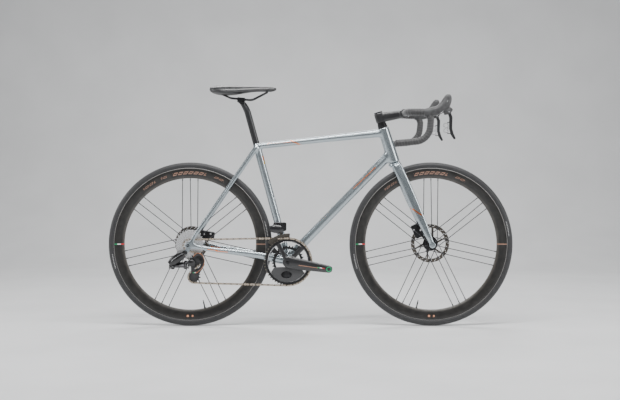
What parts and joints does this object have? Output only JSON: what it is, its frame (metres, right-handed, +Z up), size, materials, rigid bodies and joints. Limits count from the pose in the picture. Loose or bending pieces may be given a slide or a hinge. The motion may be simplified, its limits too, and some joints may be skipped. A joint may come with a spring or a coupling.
{
  "type": "road bicycle",
  "caption": "Road bicycle with a metal frame, drop bar, deep-rim wheels, disc brakes and a two-ring chain drive, without pedals.",
  "frame": {"origin": "on the ground, midway between the two wheel axles, in the plane of the wheels", "axes": "+X forwards, +Y to the rider's left, +Z up; the chain is on the -Y side"},
  "size_m": [1.675, 0.44, 0.996],
  "materials": {
    "frame_paint": "satin metallic",
    "carbon_satin": "satin carbon",
    "carbon_gloss": "gloss carbon",
    "rim_carbon": "satin carbon",
    "tyre_rubber": "matt rubber",
    "spoke_black": "satin",
    "black_alloy": "anodised",
    "steel": "ground",
    "cog_steel": "bright plated",
    "chain_steel": "tinted",
    "ring_alloy": "anodised, bright edge",
    "tape": "wrapped tape",
    "hood_rubber": "moulded",
    "lever_carbon": "satin grey",
    "pad_compound": "sintered",
    "saddle_leather": "smooth",
    "jockey_plastic": "moulded"
  },
  "bodies": {
    "frame": {"head_tube": "frame_paint", "top_tube": "frame_paint", "down_tube": "frame_paint", "seat_tube": "frame_paint", "bb_shell": "frame_paint", "chain_stays": "frame_paint", "seat_stays": "frame_paint", "derailleur_hanger": "black_alloy", "frame_bearings": "steel", "seat_wedge": "black_alloy", "bottle_bosses": "steel", "rear_axle": "black_alloy", "rear_caliper": "black_alloy", "fd_body": "carbon_satin", "chain": "chain_steel", "rd_upper_knuckle": "carbon_satin"},
    "steering": {"fork": "frame_paint", "headset_spacers": "carbon_satin", "stem": "carbon_satin", "handlebar": "carbon_satin", "bar_tape": "tape", "bar_end_plugs": "jockey_plastic", "lever_bodies": "hood_rubber", "front_caliper": "black_alloy", "front_axle": "black_alloy"},
    "front_wheel": {"front_tyre": "tyre_rubber", "front_rim": "rim_carbon", "front_spokes": "spoke_black", "front_hub": "black_alloy", "front_rotor": "steel"},
    "rear_wheel": {"rear_tyre": "tyre_rubber", "rear_rim": "rim_carbon", "rear_spokes": "spoke_black", "rear_hub": "black_alloy", "rear_rotor": "steel"},
    "sprockets": {"cassette": "cog_steel"},
    "cranks": {"crank_right": "carbon_gloss", "crank_left": "carbon_gloss", "chainrings": "ring_alloy"},
    "rd_link": {"rd_link": "carbon_satin"},
    "rd_knuckle": {"rd_lower_knuckle": "carbon_satin"},
    "rd_cage": {"rd_cage": "carbon_satin"},
    "upper_jockey": {"jockey_upper": "jockey_plastic"},
    "lower_jockey": {"jockey_lower": "jockey_plastic"},
    "fd_cage": {"fd_cage": "steel"},
    "left_lever": {"lever_left": "lever_carbon"},
    "right_lever": {"lever_right": "lever_carbon"},
    "left_upper_button": {"button_upper_left": "jockey_plastic"},
    "left_lower_button": {"button_lower_left": "jockey_plastic"},
    "right_upper_button": {"button_upper_right": "jockey_plastic"},
    "right_lower_button": {"button_lower_right": "jockey_plastic"},
    "front_inner_pad": {"front_pad_inner": "pad_compound"},
    "front_outer_pad": {"front_pad_outer": "pad_compound"},
    "rear_inner_pad": {"rear_pad_inner": "pad_compound"},
    "rear_outer_pad": {"rear_pad_outer": "pad_compound"},
    "seatpost": {"seatpost": "carbon_gloss"},
    "saddle_clamp": {"saddle_clamp": "black_alloy"},
    "saddle": {"saddle_rails": "carbon_satin", "saddle_shell": "carbon_satin", "saddle_cover": "saddle_leather"}
  },
  "joints": [
    {"name": "steering_turn", "type": "hinge", "parent": "frame", "child": "steering", "pos_m": [0.45608, 0, 0.32497], "axis": [-0.3007, 0, 0.9537], "range_deg": [-60, 60]},
    {"name": "front_wheel_spin", "type": "hinge", "parent": "steering", "child": "front_wheel", "pos_m": [0.499, 0, 0.3385], "axis": [0, 1, 0], "continuous": true},
    {"name": "rear_wheel_spin", "type": "hinge", "parent": "frame", "child": "rear_wheel", "pos_m": [-0.499, 0, 0.3385], "axis": [0, 1, 0], "continuous": true},
    {"name": "crank_spin", "type": "hinge", "parent": "frame", "child": "cranks", "pos_m": [-0.093, 0, 0.2685], "axis": [0, 1, 0], "continuous": true, "deforming": ["chain"]},
    {"name": "cassette_spin", "type": "hinge", "parent": "frame", "child": "sprockets", "pos_m": [-0.499, 0, 0.3385], "axis": [0, 1, 0], "continuous": true},
    {"name": "rd_shift", "type": "hinge", "parent": "frame", "child": "rd_link", "pos_m": [-0.561, -0.07845, 0.2595], "axis": [0, 0.6157, 0.788], "range_deg": [-4, 46]},
    {"name": "rd_shift_front", "type": "hinge", "parent": "rd_link", "child": "rd_knuckle", "pos_m": [-0.509, -0.07845, 0.2595], "axis": [0, 0.6157, 0.788], "range_deg": [-46, 4]},
    {"name": "rd_cage_swing", "type": "hinge", "parent": "rd_knuckle", "child": "rd_cage", "pos_m": [-0.483, -0.05945, 0.2655], "axis": [0, 1, 0], "range_deg": [-12, 22]},
    {"name": "upper_jockey_spin", "type": "hinge", "parent": "rd_cage", "child": "upper_jockey", "pos_m": [-0.46625, -0.05945, 0.27859], "axis": [0, 1, 0], "continuous": true},
    {"name": "lower_jockey_spin", "type": "hinge", "parent": "rd_cage", "child": "lower_jockey", "pos_m": [-0.47665, -0.05945, 0.20856], "axis": [0, 1, 0], "continuous": true},
    {"name": "fd_shift", "type": "slide", "parent": "frame", "child": "fd_cage", "axis": [0, 1, 0], "range_m": [0, 0.0076]},
    {"name": "left_brake_lever", "type": "hinge", "parent": "steering", "child": "left_lever", "pos_m": [0.54688, 0.2015, 0.87727], "axis": [0, 1, 0], "range_deg": [0, 18], "stiffness_Nm_per_rad": 0.6, "springref_deg": -20.05},
    {"name": "left_upper_shift", "type": "hinge", "parent": "left_lever", "child": "left_upper_button", "pos_m": [0.54288, 0.2015, 0.82377], "axis": [0, 0, 1], "range_deg": [0, 6], "stiffness_Nm_per_rad": 0.03, "springref_deg": -20.05},
    {"name": "left_lower_shift", "type": "hinge", "parent": "left_lever", "child": "left_lower_button", "pos_m": [0.54288, 0.2015, 0.80327], "axis": [0, 0, 1], "range_deg": [0, 6], "stiffness_Nm_per_rad": 0.03, "springref_deg": -20.05},
    {"name": "right_brake_lever", "type": "hinge", "parent": "steering", "child": "right_lever", "pos_m": [0.54688, -0.2015, 0.87727], "axis": [0, 1, 0], "range_deg": [0, 18], "stiffness_Nm_per_rad": 0.6, "springref_deg": -20.05},
    {"name": "right_upper_shift", "type": "hinge", "parent": "right_lever", "child": "right_upper_button", "pos_m": [0.54288, -0.2015, 0.82377], "axis": [0, 0, -1], "range_deg": [0, 6], "stiffness_Nm_per_rad": 0.03, "springref_deg": -20.05},
    {"name": "right_lower_shift", "type": "hinge", "parent": "right_lever", "child": "right_lower_button", "pos_m": [0.54288, -0.2015, 0.80327], "axis": [0, 0, -1], "range_deg": [0, 6], "stiffness_Nm_per_rad": 0.03, "springref_deg": -20.05},
    {"name": "front_inner_pad_slide", "type": "slide", "parent": "steering", "child": "front_inner_pad", "axis": [0, 1, 0], "range_m": [0, 0.0002]},
    {"name": "front_outer_pad_slide", "type": "slide", "parent": "steering", "child": "front_outer_pad", "axis": [0, -1, 0], "range_m": [0, 0.0002]},
    {"name": "rear_inner_pad_slide", "type": "slide", "parent": "frame", "child": "rear_inner_pad", "axis": [0, 1, 0], "range_m": [0, 0.0002]},
    {"name": "rear_outer_pad_slide", "type": "slide", "parent": "frame", "child": "rear_outer_pad", "axis": [0, -1, 0], "range_m": [0, 0.0002]},
    {"name": "seatpost_height", "type": "slide", "parent": "frame", "child": "seatpost", "axis": [-0.263, 0, 0.9648], "range_m": [-0.06, 0.06]},
    {"name": "saddle_tilt", "type": "hinge", "parent": "seatpost", "child": "saddle_clamp", "pos_m": [-0.288, 0, 0.93052], "axis": [0, 1, 0], "range_deg": [-8, 8]},
    {"name": "saddle_setback", "type": "slide", "parent": "saddle_clamp", "child": "saddle", "axis": [0.9951, 0, -0.0993], "range_m": [-0.012, 0.012]}
  ],
  "couplings": [
    {"joint": "cassette_spin", "follows": "crank_spin", "ratio": 4.3636},
    {"joint": "upper_jockey_spin", "follows": "crank_spin", "ratio": -4},
    {"joint": "lower_jockey_spin", "follows": "crank_spin", "ratio": 4},
    {"joint": "rd_shift_front", "follows": "rd_shift", "ratio": -1},
    {"joint": "front_inner_pad_slide", "follows": "left_brake_lever", "m_per_rad": 0.00063662},
    {"joint": "front_outer_pad_slide", "follows": "left_brake_lever", "m_per_rad": 0.00063662},
    {"joint": "rear_inner_pad_slide", "follows": "right_brake_lever", "m_per_rad": 0.00063662},
    {"joint": "rear_outer_pad_slide", "follows": "right_brake_lever", "m_per_rad": 0.00063662}
  ]
}
